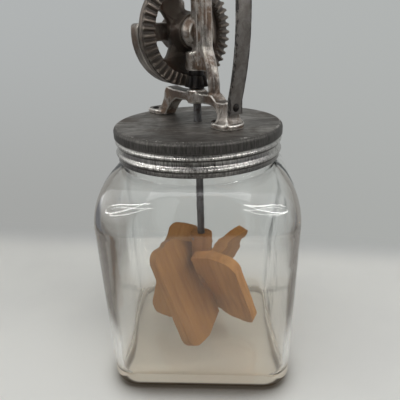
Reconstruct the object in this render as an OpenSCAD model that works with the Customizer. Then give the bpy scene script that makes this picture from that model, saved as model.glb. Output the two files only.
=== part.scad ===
// Glass jar butter churn: a square glass jar, a screw cap that carries a cast gear frame,
// and a wooden paddle dasher that a hand crank turns through a pair of bevel gears.
// The foot of the jar stands on z = 0. The head is built with its axle along its own X axis,
// the dasher shaft on its Z axis and z = 0 on top of the cap, and is then turned on the jar.

/* [Jar] */
// Height of the glass from foot to rim
jar_h = 211.5; // [195:0.5:230]
// Width across the flats at the shoulder
jar_shoulder_w = 161; // [155:0.5:175]
// Width across the flats at the foot
jar_base_w = 153; // [144:0.5:160]
// Corner radius at the shoulder
jar_shoulder_corner = 30; // [22:0.5:38]
// Corner radius at the foot
jar_base_corner = 24; // [18:0.5:32]
// Height of the widest place
jar_shoulder_z = 145; // [130:0.5:155]
// Thickness of the glass wall
jar_wall = 4; // [3:0.1:5]
// Thickness of the glass floor
jar_floor = 6; // [5:0.5:12]
// Rounding of the outer edge of the foot
jar_foot_round = 7; // [5:0.5:9]
// Rounding of the inner edge of the floor
jar_floor_round = 10; // [6:0.5:14]
// Outside radius of the neck
neck_r = 64.5; // [62:0.1:67]
// Height of the neck above the shoulder
neck_h = 30; // [28:0.5:34]
// Height of the glass thread above the neck
thread_h = 1.4; // [0.8:0.1:1.8]
// Pitch of the glass thread
thread_pitch = 8.6; // [7:0.1:9]
// Turns of the glass thread
thread_turns = 1.5; // [1:0.1:1.9]

/* [Cap] */
// Thickness of the cap's sheet metal
cap_t = 0.8; // [0.5:0.1:1.2]
// Height of the cap's skirt
cap_skirt = 27; // [25:0.5:28]
// Gap between the glass thread and the cap
cap_gap = 0.5; // [0.3:0.1:1]
// Height of the plain band above the beads
cap_band_h = 9.5; // [8:0.5:10]
// Step from the skirt out to the plain band
cap_band_step = 2.3; // [1:0.1:3]
// Rounding of the cap's top edge
cap_round = 4; // [2:0.5:6]
// Height of a rolled bead above the skirt
bead_h = 1.7; // [1:0.1:2.2]
// Width of a rolled bead
bead_w = 6; // [4:0.5:7]
// Thickness of the rubber ring under the cap
gasket_t = 2; // [1:0.1:3]
// Width of the rubber ring
gasket_w = 6; // [4:0.5:8]

/* [Gears] */
// Module of the bevel teeth
tooth_module = 1.82; // [1.7:0.02:1.9]
// Teeth of the crank's gear
gear_teeth = 45; // [40:1:50]
// Teeth of the pinion
pinion_teeth = 9; // [9:2:13]
// Length of a tooth
tooth_face = 9; // [6:0.5:11]
// Pressure angle of the teeth
tooth_angle = 25; // [22:0.5:27]
// Play between the teeth
backlash = 0.24; // [0.15:0.01:0.4]
// Depth of the gear's rim and spokes behind the teeth
gear_rim_t = 6; // [5:0.5:7]
// Inside radius of the gear's rim
gear_rim_in = 31; // [28:0.5:31.5]
// Radius of the gear's hub
gear_hub_r = 13; // [12:0.5:15]
// Width of a spoke
spoke_w = 17; // [12:0.5:18]
// Thickness of the spokes
spoke_t = 5; // [3:0.5:6]

/* [Crank] */
// Radius of the fixed axle stud
stud_r = 5; // [4:0.1:5.5]
// Wall of the bush between the stud and the hub
hub_bush_wall = 1.5; // [1:0.1:1.8]
// Distance from the axle to the knob
crank_r = 46; // [40:0.5:48]
// Width of the crank's arm
crank_arm_w = 15; // [12:0.5:18]
// Thickness of the crank's arm
crank_t = 5.5; // [4:0.5:7]
// Set of the crank's arm, outward from its hub to the knob
crank_set = 26; // [24:0.5:30]
// Distance between the gear and the crank's arm
crank_gap = 8.5; // [8:0.5:11]
// Outside radius of the balance weight
weight_r = 40.5; // [36:0.5:41.5]
// Inside radius of the balance weight's rim
weight_in = 28; // [24:0.5:32]
// Depth of the balance weight's rim
weight_t = 10.5; // [6:0.5:11]
// Radius of the crank's hub
crank_hub_r = 13; // [12:0.5:15]
// Length of the wooden knob
knob_len = 62; // [50:1:75]
// Largest radius of the wooden knob
knob_r = 13; // [10:0.5:14]
// Radius of the pin that the knob turns on
knob_pin_r = 3.5; // [3:0.1:4]
// Radius of the washer between the crank's eye and the knob
knob_washer_r = 8; // [7:0.25:9]

/* [Frame] */
// Turn of the head on the jar
lid_turn = -49; // [-180:1:180]
// Height of the cross bar's underside above the cap
bar_z = 16.5; // [14:0.5:19]
// Depth of the cross bar
bar_h = 7.5; // [6:0.5:10]
// Width of the cross bar and the legs
bar_w = 12; // [10:0.5:16]
// Distance between the cross bar and the gear
gear_gap = 3.5; // [2:0.5:6]
// Start of the column in front of the dasher shaft
column_x = 0.5; // [0:0.5:4]
// Depth of the column
column_d = 17; // [14:0.5:19]
// Thickness of the column's web
column_w = 5.5; // [4:0.5:8]
// Width of the flange on the column's back
flange_w = 8.5; // [6:0.5:11]
// Depth of that flange
flange_d = 7.5; // [5:0.5:9]
// Width of the rounded rib on the column's front
rib_w = 10; // [8:0.5:13]
// Depth of that rib
rib_d = 5; // [4:0.5:7]
// Radius of the axle boss
axle_boss_r = 11.5; // [9:0.5:12]
// Radius of the two shaft bosses
shaft_boss_r = 7.8; // [6.8:0.1:8.2]
// Thickness of the feet
foot_t = 4.5; // [3:0.5:6]
// Radius of the rivets' shanks
rivet_r = 1.9; // [1.5:0.1:2.5]

/* [Handle] */
// Width of the handle's strap
strap_w = 12.5; // [10:0.5:16]
// Thickness of the handle's strap
strap_t = 2.5; // [2:0.5:4]
// Seat of the strap in front of the dasher shaft
strap_seat_x = 44.5; // [43:0.5:46]
// How far the strap bows out beyond its seat
strap_bow = 8.5; // [6:0.5:12]
// Height of the strap's widest place above the cap
strap_bow_z = 80; // [76:0.5:86]
// Height above the cap where the strap starts to bend over
strap_bend_z = 126; // [122:0.5:134]
// Radius of the strap's upper bend
strap_bend_r = 20; // [15:0.5:24]

/* [Dasher] */
// Radius of the dasher shaft
shaft_r = 3.25; // [3:0.05:3.5]
// Length of the paddles along their pitch
paddle_h = 94; // [70:1:96]
// Reach of the paddles from the shaft
paddle_reach = 49; // [40:0.5:51]
// Thickness of the paddles
paddle_t = 9; // [6:0.5:11]
// Rounding of the paddles' outer corners
paddle_round = 11.5; // [5:0.5:16]
// Cut across the paddles' inner corners, along their ends
paddle_cut = 24; // [10:1:30]
// Pitch of the paddles from upright
paddle_pitch = 25; // [15:1:30]
// Turn of the paddles against the head
paddle_turn = 16; // [0:1:89]
// Height of the paddles' middle above the jar's floor
paddle_z = 57; // [52:0.5:66]
// Radius of the wooden hub
dasher_hub_r = 10; // [9:0.5:12]
// Radius of the dowels that hold the paddles in the hub
dowel_r = 3; // [2.5:0.25:3.5]

/* [Hidden] */
$fn = 64;

// Clearances: a running shaft, a seat within one body, and faces that move past each other
run = 0.05;
seat = 0.03;
gap = 0.3;

// Overlap that joins two shapes of one solid, and the overshoot of a cut
weld = 1;
cut = 1;

// Colours
glass_colour = [0.82, 0.86, 0.84, 0.45];
tin_colour = [0.42, 0.40, 0.37];
iron_colour = [0.45, 0.42, 0.38];
dark_iron_colour = [0.16, 0.15, 0.15];
steel_colour = [0.55, 0.55, 0.56];
bronze_colour = [0.60, 0.46, 0.28];
wood_colour = [0.58, 0.42, 0.27];
knob_colour = [0.40, 0.24, 0.13];
rubber_colour = [0.20, 0.18, 0.17];

// Levels of the jar and the cap
neck_z = jar_h - neck_h;
lid_z = jar_h + gasket_t + cap_t + 2 * seat;
neck_in = neck_r - jar_wall;
cap_in = neck_r + thread_h + cap_gap;
groove_r = cap_in + cap_t;
band_r = groove_r + cap_band_step;
shaft_hole_r = shaft_r + 0.6;

// The bevel pair shares one cone tip, where the axle line meets the shaft line
gear_delta = atan2(gear_teeth, pinion_teeth);
pinion_delta = 90 - gear_delta;
gear_r = tooth_module * gear_teeth / 2;
pinion_r = tooth_module * pinion_teeth / 2;
cone_len = gear_r / sin(gear_delta);
face_scale = 1 - tooth_face / cone_len;
addendum = 0.75 * tooth_module;
dedendum = 0.95 * tooth_module;
tooth_half = PI * tooth_module / 4 - backlash / 2;
gear_tip_r = gear_r + addendum * cos(gear_delta);
axle_z = bar_z + bar_h + gear_gap + gear_tip_r;

// Places along the axle, measured from the shaft
hub_front_x = -3;
boss_end_x = hub_front_x + gap;
gear_back_x = -pinion_r - dedendum - gear_rim_t;
crank_front_x = gear_back_x - crank_gap + crank_t / 2;
crank_back_x = crank_front_x - crank_t;
eye_front_x = crank_front_x - crank_set;
eye_back_x = eye_front_x - crank_t;
hub_back_x = crank_back_x - 3;
weight_front_x = gear_back_x - 2;
hub_bore_r = stud_r + run + hub_bush_wall;
hub_pin_r = 1.5;
hub_pin_ring = (hub_bore_r + min(gear_hub_r, crank_hub_r)) / 2;
washer_t = 1.5;
washer_x = hub_back_x - gap - washer_t;
nut_h = 6;
stud_end_x = washer_x - nut_h - 2;
boss_front_x = column_x + 4.5;
stud_root_x = boss_front_x - 0.5;
thread_end_r = stud_r - 0.8;

// Places along the shaft, measured from the top of the cap
pinion_low_z = axle_z - gear_r - 1.5;
pinion_top_z = axle_z - gear_r * face_scale;
pinion_hub_r = 5.9;
pinion_foot_r = pinion_r - dedendum - 0.4;
pinion_neck_r = pinion_foot_r * face_scale - 0.2;
pinion_hub_top_z = pinion_top_z + 3.5;
upper_boss_z = pinion_hub_top_z + gap;
upper_boss_h = axle_z - gear_hub_r - 3 * gap - upper_boss_z;
lower_boss_z = bar_z - 1.5;
lower_boss_top_z = pinion_low_z - gap;
bush_wall = 1.75;
bush_r = shaft_r + run + bush_wall;
shaft_top_z = upper_boss_z + upper_boss_h - 4;

// Knob places on the crank
knob_washer_t = 1;
knob_front_x = eye_back_x - knob_washer_t - gap;
knob_back_x = knob_front_x - knob_len;
knob_head_t = 3;
crank_eye_r = 9;
arm_level_r = 22;
arm_set_r = crank_r - 4;

// Feet of the frame: [inner end, outer end, width], measured along the axle line
right_foot = [25, 49, 21];
left_foot = [-65.5, -42, 21];
foot_corner = 8;
rivet_across = 5.5;
rivet_head_r = rivet_r + 1.2;
rivet_head_h = 1.6;
left_rivet_x = -(neck_r - gasket_w - rivet_head_r - 1);
right_rivet_x = right_foot[0] + rivet_head_r + 0.7;
left_leg_x = -39;
right_leg_x = right_rivet_x + rivet_head_r + 0.8;
window_x = column_x + column_d;

// Strap: a bow, a bend and a level end on top of the column
strap_seat_z = bar_z - 5;
strap_seat_top = bar_z + bar_h - 2;
strap_mid_x = strap_seat_x + strap_t / 2;
bow_rate = strap_bow / pow(strap_bow_z - strap_seat_top, 2);
function bow_x(z) = strap_mid_x + strap_bow - bow_rate * pow(z - strap_bow_z, 2);
bend_x = bow_x(strap_bend_z);
bend_start = 90 + atan(2 * bow_rate * (strap_bend_z - strap_bow_z));
bend_centre = [bend_x, strap_bend_z] + strap_bend_r * [cos(bend_start + 90), sin(bend_start + 90)];
strap_top_z = bend_centre[1] + strap_bend_r;
column_top_z = strap_top_z - strap_t / 2;
strap_end_x = column_x - 2;
handle_rivet_z = (strap_seat_z + strap_seat_top) / 2;
handle_screw_x = column_x + column_d / 2;

// Dasher levels, measured from the top of the cap
paddle_mid_z = jar_floor + paddle_z - lid_z;
paddle_rise = paddle_h / 2 * cos(paddle_pitch) + paddle_t / 2 * sin(paddle_pitch);
hub_top_z = paddle_mid_z + paddle_rise + 4;
hub_low_z = paddle_mid_z - paddle_rise + 6;
dasher_washer_t = 1.2;
dasher_nut_h = 4;
shaft_low_z = hub_low_z - dasher_washer_t - dasher_nut_h - 1;
dowel_in = shaft_r + 1.5;
dowel_out = dasher_hub_r + 14;

// The cope clears the hub and keeps the four pitched boards apart
paddle_cope_r = dasher_hub_r + 0.05;

// Cross pins of the pinion and of the wooden hub
pin_r = 1;
pinion_pin_z = (pinion_top_z + pinion_hub_top_z) / 2 + 0.2;
dasher_pin_r = 1.5;
dasher_pin_z = hub_top_z - 5;

// First spoke of the gear, measured from straight down towards the rear side of the wheel
first_spoke = 214;

// One solid through a list of rings of points, each counterclockwise from above.
// The rings run up the outside and down the inside; a loop joins the last to the first.
module ring_solid(rings, loop = false) {
    n = len(rings[0]);
    m = len(rings);
    last = (m - 1) * n;
    sides = [
        for (i = [0 : loop ? m - 1 : m - 2], j = [0 : n - 1])
            let (a = i * n + j, b = i * n + (j + 1) % n, c = ((i + 1) % m) * n + j,
                 d = ((i + 1) % m) * n + (j + 1) % n)
            each [[a, c, d], [a, d, b]]
    ];
    ends = loop ? [] : [for (j = [1 : n - 2]) each [[0, j, j + 1], [last, last + j + 1, last + j]]];
    polyhedron(points = [for (ring = rings) each ring], faces = concat(sides, ends), convexity = 6);
}

// A rounded square of the jar: half its width, its corner radius and its height
corner_steps = 10;
function square_ring(half, corner, z) = [
    for (quarter = [0 : 3], step = [0 : corner_steps])
        let (a = 90 * step / corner_steps, turn = 90 * quarter, flat = half - corner,
             x = flat + corner * cos(a), y = flat + corner * sin(a))
        [x * cos(turn) - y * sin(turn), x * sin(turn) + y * cos(turn), z]
];

// Height of the thread at an angle and a level of the neck
thread_low = neck_z + 7.5;
thread_w = 2.4;
function thread_bump(a, z, lap) =
    let (turns = a / 360 + lap, off = (z - thread_low - thread_pitch * turns) / thread_w,
         fade = min(1, 8 * turns, 8 * (thread_turns - turns)))
    turns > thread_turns ? 0 : max(0, 1 - off * off) * max(0, fade);
function neck_ring(z) = [
    for (p = square_ring(neck_r, neck_r, z))
        let (a = (atan2(p[1], p[0]) + 360) % 360,
             r = neck_r + thread_h * max(thread_bump(a, z, 0), thread_bump(a, z, 1)))
        [r * cos(a), r * sin(a), z]
];

// Outline of the jar's wall, as rings, set in from the outside by a wall
function body_half(z) =
    let (base = jar_base_w / 2, top = jar_shoulder_w / 2) base + (top - base) * z / jar_shoulder_z;
function body_corner(z) = jar_base_corner + (jar_shoulder_corner - jar_base_corner) * z / jar_shoulder_z;
function shoulder_ring(a, inset) =
    let (flat = (jar_shoulder_w / 2 - jar_shoulder_corner) * cos(a),
         half = neck_r + (jar_shoulder_w / 2 - neck_r) * cos(a) - inset,
         z = jar_shoulder_z + (neck_z - jar_shoulder_z) * sin(a) - inset * sin(a))
    square_ring(half, half - flat, z);
shoulder_steps = 8;
foot_steps = 4;
neck_steps = 16;
rim_round = 1.5;
rim_steps = 3;

module glass_jar() {
    foot = [
        for (i = [0 : foot_steps])
            let (a = 90 * i / foot_steps, z = jar_foot_round * (1 - cos(a)),
                 inset = jar_foot_round * (1 - sin(a)))
            square_ring(body_half(z) - inset, max(body_corner(z) - inset, 1), z)
    ];
    shoulder = [for (i = [0 : shoulder_steps]) shoulder_ring(90 * i / shoulder_steps, 0)];
    neck = [
        for (i = [1 : neck_steps])
            neck_ring(neck_z + (neck_h - rim_round) * i / neck_steps)
    ];
    rim = [
        for (i = [1 : rim_steps])
            let (a = 90 * i / rim_steps, r = neck_r - rim_round * (1 - cos(a)))
            square_ring(r, r, jar_h - rim_round * (1 - sin(a)))
    ];
    mouth = [
        square_ring(neck_in + rim_round, neck_in + rim_round, jar_h),
        square_ring(neck_in, neck_in, jar_h - rim_round)
    ];
    inner_shoulder = [
        for (i = [shoulder_steps : -1 : 0]) shoulder_ring(90 * i / shoulder_steps, jar_wall)
    ];
    floor_edge = [
        for (i = [foot_steps : -1 : 0])
            let (a = 90 * i / foot_steps, z = jar_floor + jar_floor_round * (1 - cos(a)),
                 inset = jar_wall + jar_floor_round * (1 - sin(a)))
            square_ring(body_half(z) - inset, max(body_corner(z) - inset, 1), z)
    ];
    color(glass_colour)
        ring_solid(concat(foot, shoulder, neck, rim, mouth, inner_shoulder, floor_edge));
}

// Outline of the cap's outside, from the shaft hole to the lower edge, set in by a thickness
bead_steps = 8;
bead_1_z = -(cap_band_h + bead_w / 2);
bead_2_z = bead_1_z - thread_pitch;
function cap_bead(z, inset) = [
    for (i = [0 : bead_steps])
        let (u = 2 * i / bead_steps - 1)
        [groove_r - inset + bead_h * pow(cos(90 * u), 2), z - bead_w / 2 * u]
];
function cap_edge(inset) = concat(
    [[shaft_hole_r, -inset]],
    [for (i = [0 : 6]) let (a = 90 - 15 * i, r = cap_round - inset)
        [band_r - cap_round + r * cos(a), -cap_round + r * sin(a)]],
    [[band_r - inset, -cap_band_h + 1]],
    cap_bead(bead_1_z, inset),
    cap_bead(bead_2_z, inset),
    [[groove_r - inset, -cap_skirt]]
);

module cap_gasket() {
    color(rubber_colour) translate([0, 0, jar_h + seat]) rotate_extrude()
        translate([neck_r - gasket_w, 0]) square([gasket_w, gasket_t]);
}

// Two rivets in each foot
module at_rivets() {
    for (x = [left_rivet_x, right_rivet_x], y = [-rivet_across, rivet_across])
        translate([x, y, 0]) children();
}

// Places a shape of the head on the jar
module head() { translate([0, 0, lid_z]) rotate(lid_turn) children(); }

// Places a shape on the axle line, with its Z axis along the axle and its X axis down
module on_axle(x = 0) { head() translate([x, 0, axle_z]) rotate([0, 90, 0]) children(); }

// A flat shape drawn in the plane of the frame, with a thickness across it
module in_frame(thick) { rotate([90, 0, 0]) linear_extrude(thick, center = true) children(); }

module screw_cap() {
    color(tin_colour) head() difference() {
        rotate_extrude($fn = 128)
            polygon(concat(cap_edge(0), [for (i = [len(cap_edge(0)) - 1 : -1 : 0]) cap_edge(cap_t)[i]]));
        at_rivets() translate([0, 0, -cap_t - cut]) cylinder(r = rivet_r + seat, h = cap_t + 2 * cut);
    }
}

// Outline of the cross bar and its two legs, down to the cap
module bar_outline() {
    boot = 10;
    top = bar_z + bar_h;
    offset(r = 2) offset(delta = -2) polygon([
        [left_leg_x - 11, 0], [left_leg_x - 10.5, foot_t + 0.5], [left_leg_x - 5, boot],
        [left_leg_x - 1, bar_z], [left_leg_x, top - 2], [left_leg_x + 3, top + 1.5],
        [left_leg_x + 14, top], [window_x, top], [window_x + 8, top], [window_x + 13, bar_z + 3],
        [strap_seat_x - 6, bar_z + 3], [strap_seat_x, strap_seat_top], [strap_seat_x, foot_t + 3],
        [strap_seat_x + 2, foot_t], [strap_seat_x + 2, 0], [right_leg_x, 0],
        [right_leg_x, boot - 2], [right_leg_x - 1.2, boot + 1.2], [right_leg_x - 4.2, bar_z - 2.2],
        [right_leg_x - 10, bar_z], [left_leg_x + 17, bar_z], [left_leg_x + 9, boot + 2],
        [left_leg_x + 2, foot_t], [left_leg_x - 1, 0]
    ]);
}

// Outline of the column with its bulge round the pinion
module column_outline() {
    low = upper_boss_z;
    high = upper_boss_z + upper_boss_h;
    offset(r = 2) offset(delta = -2) polygon([
        [column_x, column_top_z], [window_x, column_top_z], [window_x, high + 3],
        [window_x + 3, low + 10], [window_x + 6, low + 2], [window_x + 7.5, low - 6],
        [window_x + 8, bar_z + bar_h - 4], [window_x, bar_z + bar_h - 4], [window_x, low],
        [0, low], [0, high - 2], [column_x, high + 4]
    ]);
}

// The flange along the column's back, and the head that the strap rests on
module flange_outline() {
    low = upper_boss_z + 4;
    head_h = 15;
    polygon([
        [column_x, low], [column_x + flange_d, low], [column_x + flange_d, column_top_z - head_h],
        [window_x - rib_d / 2, column_top_z - head_h + 6], [window_x - rib_d / 2, column_top_z],
        [column_x, column_top_z]
    ]);
}

// The rib along the column's front, set back from it
module rib_outline(back) {
    low = upper_boss_z;
    front = [
        [window_x, column_top_z], [window_x, low + upper_boss_h + 3], [window_x + 3, low + 10],
        [window_x + 6, low + 2], [window_x + 7.5, low - 6], [window_x + 8, bar_z + bar_h - 4]
    ];
    last = len(front) - 1;
    polygon(concat(
        [for (p = front) [p[0] - back, p[1]]],
        [for (i = [last : -1 : 0]) [front[i][0] - rib_d, front[i][1]]]
    ));
}

// The right leg spreads to the width of its foot
module foot_flare() {
    half = right_foot[2] / 2 - 1.2;
    waist = bar_w / 2;
    low = foot_t - weld;
    intersection() {
        in_frame(2 * half) polygon([
            [right_leg_x, low], [strap_seat_x + 2, low], [strap_seat_x + 2, foot_t + 0.5],
            [strap_seat_x - 0.3, foot_t + 4], [strap_seat_x - 0.3, bar_z], [right_leg_x, bar_z]
        ]);
        translate([right_leg_x, 0, 0]) rotate([90, 0, 90]) linear_extrude(right_foot[1] - right_leg_x)
            polygon([
                [-half, low], [half, low], [half - 0.4, foot_t + 0.8], [half - 1.8, foot_t + 2.4],
                [waist + 0.5, foot_t + 6], [waist - 0.3, bar_z], [0.3 - waist, bar_z],
                [-waist - 0.5, foot_t + 6], [1.8 - half, foot_t + 2.4], [0.4 - half, foot_t + 0.8]
            ]);
    }
}

// A foot with rounded corners
module foot(ends) {
    linear_extrude(foot_t) translate([ends[0], -ends[2] / 2])
        offset(r = foot_corner) offset(delta = -foot_corner) square([ends[1] - ends[0], ends[2]]);
}

module gear_frame() {
    color(iron_colour) head() difference() {
        union() {
            in_frame(bar_w) bar_outline();
            in_frame(column_w) column_outline();
            in_frame(flange_w) flange_outline();
            in_frame(rib_w) rib_outline(rib_d * 0.45);
            in_frame(rib_w * 0.85) rib_outline(rib_d * 0.2);
            in_frame(rib_w * 0.6) rib_outline(0.2);
            foot_flare();
            in_frame(column_w) polygon([
                [boss_end_x, axle_z], [boss_end_x, axle_z + axle_boss_r - 1],
                [column_x + 1, axle_z + axle_boss_r + 9], [column_x + 1, axle_z]
            ]);
            foot(left_foot);
            foot(right_foot);
            translate([boss_end_x, 0, axle_z]) rotate([0, 90, 0])
                cylinder(r = axle_boss_r, h = column_x - weld - boss_end_x);
            translate([column_x - weld, 0, axle_z]) rotate([0, 90, 0])
                cylinder(r1 = axle_boss_r, r2 = axle_boss_r - 3, h = boss_front_x - column_x + weld);
            translate([0, 0, upper_boss_z]) cylinder(r = shaft_boss_r, h = upper_boss_h);
            translate([0, 0, lower_boss_z]) cylinder(r = shaft_boss_r, h = lower_boss_top_z - lower_boss_z);
        }
        translate([0, 0, lower_boss_z - cut])
            cylinder(r = bush_r + seat, h = lower_boss_top_z - lower_boss_z + 2 * cut);
        translate([0, 0, upper_boss_z - cut])
            cylinder(r = bush_r + seat, h = shaft_top_z + 1.5 - upper_boss_z + cut);
        translate([boss_end_x - cut, 0, axle_z]) rotate([0, 90, 0])
            cylinder(r = stud_r + seat, h = stud_root_x - boss_end_x + cut);
        at_rivets() translate([0, 0, -cut]) cylinder(r = rivet_r + seat, h = foot_t + 2 * cut);
        translate([right_leg_x - cut, 0, handle_rivet_z]) rotate([0, 90, 0])
            cylinder(r = rivet_r + seat, h = strap_seat_x - right_leg_x + 2 * cut);
        translate([handle_screw_x, 0, column_top_z - 12]) cylinder(r = rivet_r + seat, h = 12 + cut);
    }
}

// A domed head on top of z = 0
module rivet_head(r, h) {
    rotate_extrude() intersection() {
        ball = (r * r + h * h) / (2 * h);
        translate([0, h - ball]) circle(r = ball);
        square([r, h]);
    }
}

module foot_rivets() {
    clinch = 0.9;
    color(steel_colour) head() at_rivets() {
        translate([0, 0, -cap_t - seat - clinch]) cylinder(r = rivet_head_r - 0.6, h = clinch);
        translate([0, 0, -cap_t - clinch / 2]) cylinder(r = rivet_r, h = cap_t + clinch / 2 + foot_t + 0.5);
        translate([0, 0, foot_t + seat]) rivet_head(rivet_head_r, rivet_head_h);
    }
}

// Middle line of the strap from its seat to its end
bow_steps = 16;
bend_steps = 10;
strap_line = concat(
    [[strap_mid_x, strap_seat_z]],
    [for (i = [0 : bow_steps]) let (z = strap_seat_top + (strap_bend_z - strap_seat_top) * i / bow_steps)
        [bow_x(z), z]],
    [for (i = [1 : bend_steps]) let (a = bend_start - 90 + (180 - bend_start) * i / bend_steps)
        bend_centre + strap_bend_r * [cos(a), sin(a)]],
    [[strap_end_x, strap_top_z]]
);
function unit(v) = v / norm(v);
function side_of(line, i) =
    let (d = unit(line[min(i + 1, len(line) - 1)] - line[max(i - 1, 0)])) [d[1], -d[0]];

module strap_handle() {
    last = len(strap_line) - 1;
    half = strap_t / 2;
    sides = [for (i = [0 : last]) i == 0 ? [1, 0] : i == last ? [0, 1] : side_of(strap_line, i)];
    left = [for (i = [0 : last]) strap_line[i] - half * sides[i]];
    right = [for (i = [last : -1 : 0]) strap_line[i] + half * sides[i]];
    color(iron_colour) head() difference() {
        in_frame(strap_w) polygon(concat(left, right));
        translate([strap_seat_x - cut, 0, handle_rivet_z]) rotate([0, 90, 0])
            cylinder(r = rivet_r + seat, h = strap_t + 3 * cut);
        translate([handle_screw_x, 0, column_top_z - cut])
            cylinder(r = rivet_r + seat, h = strap_t + 2 * cut);
    }
}

module handle_rivet() {
    shank = strap_seat_x + strap_t - right_leg_x + 0.5;
    color(steel_colour) head() translate([right_leg_x, 0, handle_rivet_z]) rotate([0, 90, 0]) {
        cylinder(r = rivet_r, h = shank);
        translate([0, 0, shank - 0.5]) rivet_head(rivet_head_r, rivet_head_h);
    }
}

module handle_screw() {
    head_r = 4.5;
    head_h = 2.5;
    slot = 1;
    color(steel_colour) head() translate([handle_screw_x, 0, strap_top_z + strap_t / 2]) difference() {
        union() {
            translate([0, 0, -strap_t - 11]) cylinder(r = rivet_r, h = strap_t + 11 + 0.5);
            rivet_head(head_r, head_h);
        }
        translate([-head_r, -slot / 2, head_h - 1]) cube([2 * head_r, slot, head_h]);
    }
}

module axle_stud() {
    color(steel_colour) on_axle() {
        translate([0, 0, washer_x]) cylinder(r = stud_r, h = stud_root_x - 0.5 - washer_x);
        translate([0, 0, stud_end_x]) cylinder(r = thread_end_r, h = washer_x - stud_end_x + weld);
    }
}

module axle_washer() {
    color(steel_colour) on_axle(washer_x) difference() {
        cylinder(r = crank_hub_r - 2, h = washer_t);
        translate([0, 0, -cut]) cylinder(r = stud_r + seat, h = washer_t + 2 * cut);
    }
}

module axle_nut() {
    flats_r = 9;
    color(steel_colour) on_axle(washer_x - nut_h) difference() {
        cylinder(r = flats_r, h = nut_h, $fn = 6);
        translate([0, 0, -cut]) cylinder(r = thread_end_r + seat, h = nut_h + 2 * cut);
    }
}

// A plain bush on the shaft line
module shaft_bush(low, high) {
    color(bronze_colour) head() translate([0, 0, low]) difference() {
        cylinder(r = bush_r, h = high - low);
        translate([0, 0, -cut]) cylinder(r = shaft_r + run, h = high - low + 2 * cut);
    }
}

module upper_bush() { shaft_bush(upper_boss_z, shaft_top_z + 0.5); }

module lower_bush() { shaft_bush(lower_boss_z, lower_boss_top_z); }

// A point of a bevel tooth, at a height above the pitch cone and a share of the cone's length.
// The cone's tip is the origin and the teeth face +Z.
function cone_point(r, delta, h, a, share) =
    let (ring = (r + h * cos(delta)) * share, level = (h * sin(delta) - r / tan(delta)) * share)
    [ring * cos(a), ring * sin(a), level];

// Half a tooth of each wheel, as pairs of angle and height from the root to the tip
to_deg = 180 / PI;
gear_flank = [
    for (h = [-dedendum, addendum]) [to_deg * (tooth_half - h * tan(tooth_angle)) / gear_r, h]
];
round_r = pinion_r / cos(pinion_delta);
base_r = round_r * cos(tooth_angle);
function involute(a) = tan(a) - a / to_deg;
function pinion_half(h) =
    let (slope = acos(min(1, base_r / (round_r + h))))
    to_deg * (tooth_half / round_r + involute(tooth_angle) - involute(slope)) / cos(pinion_delta);
root_fillet = 0.6;
pinion_flank = concat(
    [[pinion_half(-dedendum) + root_fillet, -dedendum]],
    [for (h = [base_r - round_r, -0.25, addendum / 2, addendum]) [pinion_half(h), h]]
);

// A closed ring of teeth on a shallow base
module tooth_ring(teeth, r, delta, flank, base) {
    last = len(flank) - 1;
    outline = [
        for (i = [0 : teeth - 1], side = [-1, 1], k = [0 : last])
            let (point = flank[side < 0 ? k : last - k])
            [360 * i / teeth + side * point[0], point[1]]
    ];
    low = -dedendum - base;
    ring_solid([
        [for (p = outline) cone_point(r, delta, low, p[0], 1)],
        [for (p = outline) cone_point(r, delta, p[1], p[0], 1)],
        [for (p = outline) cone_point(r, delta, p[1], p[0], face_scale)],
        [for (p = outline) cone_point(r, delta, low, p[0], face_scale)]
    ], loop = true);
}

// A window between two spokes of the gear
module gear_window() {
    reach = gear_rim_in + 10;
    offset(r = 5) offset(delta = -5) difference() {
        intersection() {
            circle(r = gear_rim_in);
            polygon([
                [0, 0], reach * 2 * [cos(60), sin(60)], [reach * 3, 0], reach * 2 * [cos(60), -sin(60)]
            ]);
        }
        circle(r = gear_hub_r + 2.5);
        for (a = [-60, 60]) rotate(a) translate([0, -spoke_w / 2]) square([reach, spoke_w]);
    }
}

module drive_gear() {
    rim_base = -dedendum - 0.6;
    rim_edge = 4;
    rim_out = gear_tip_r - 0.1;
    root = cone_point(gear_r, gear_delta, rim_base, 0, 1);
    root_slope = root[2] / root[0];
    rim_top = rim_out * root_slope;
    color(iron_colour) on_axle() difference() {
        union() {
            tooth_ring(gear_teeth, gear_r, gear_delta, gear_flank, 1.8);
            rotate_extrude($fn = 128) polygon([
                [rim_out, rim_top], [rim_out, rim_top - rim_edge],
                [rim_out - gear_rim_t + rim_edge, gear_back_x],
                [gear_rim_in, gear_back_x], [gear_rim_in, gear_rim_in * root_slope]
            ]);
            translate([0, 0, gear_back_x]) cylinder(r = gear_rim_in + weld, h = spoke_t);
            translate([0, 0, gear_back_x - 1]) cylinder(r = gear_hub_r, h = hub_front_x - gear_back_x + 1);
            translate([0, 0, gear_back_x + spoke_t - weld / 2])
                cylinder(r1 = gear_hub_r + 2.5, r2 = gear_hub_r - 0.5, h = 5);
        }
        for (i = [0 : 2]) rotate(first_spoke + 120 * i + 60) translate([0, 0, gear_back_x - cut])
            linear_extrude(spoke_t + 2 * cut) gear_window();
        translate([0, 0, gear_back_x - 2 - cut]) cylinder(r = hub_bore_r + seat, h = 40);
        for (a = [0, 180]) rotate(a) translate([hub_pin_ring, 0, gear_back_x - 2 - cut])
            cylinder(r = hub_pin_r + seat, h = 40);
    }
}

// Outline of the balance weight: a half wheel with a bar across and two windows
module weight_outline() {
    bar_up = 7.5;
    bar_down = 6;
    difference() {
        intersection() {
            circle(r = weight_r);
            translate([-bar_up, -weight_r]) square([weight_r + bar_up, 2 * weight_r]);
        }
        for (side = [-1, 1]) offset(r = 4) offset(delta = -4) intersection() {
            circle(r = weight_in);
            difference() {
                translate([bar_down, side > 0 ? 4 : -weight_in]) square([weight_in, weight_in - 4]);
                circle(r = crank_hub_r + 1);
            }
        }
    }
}

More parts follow.
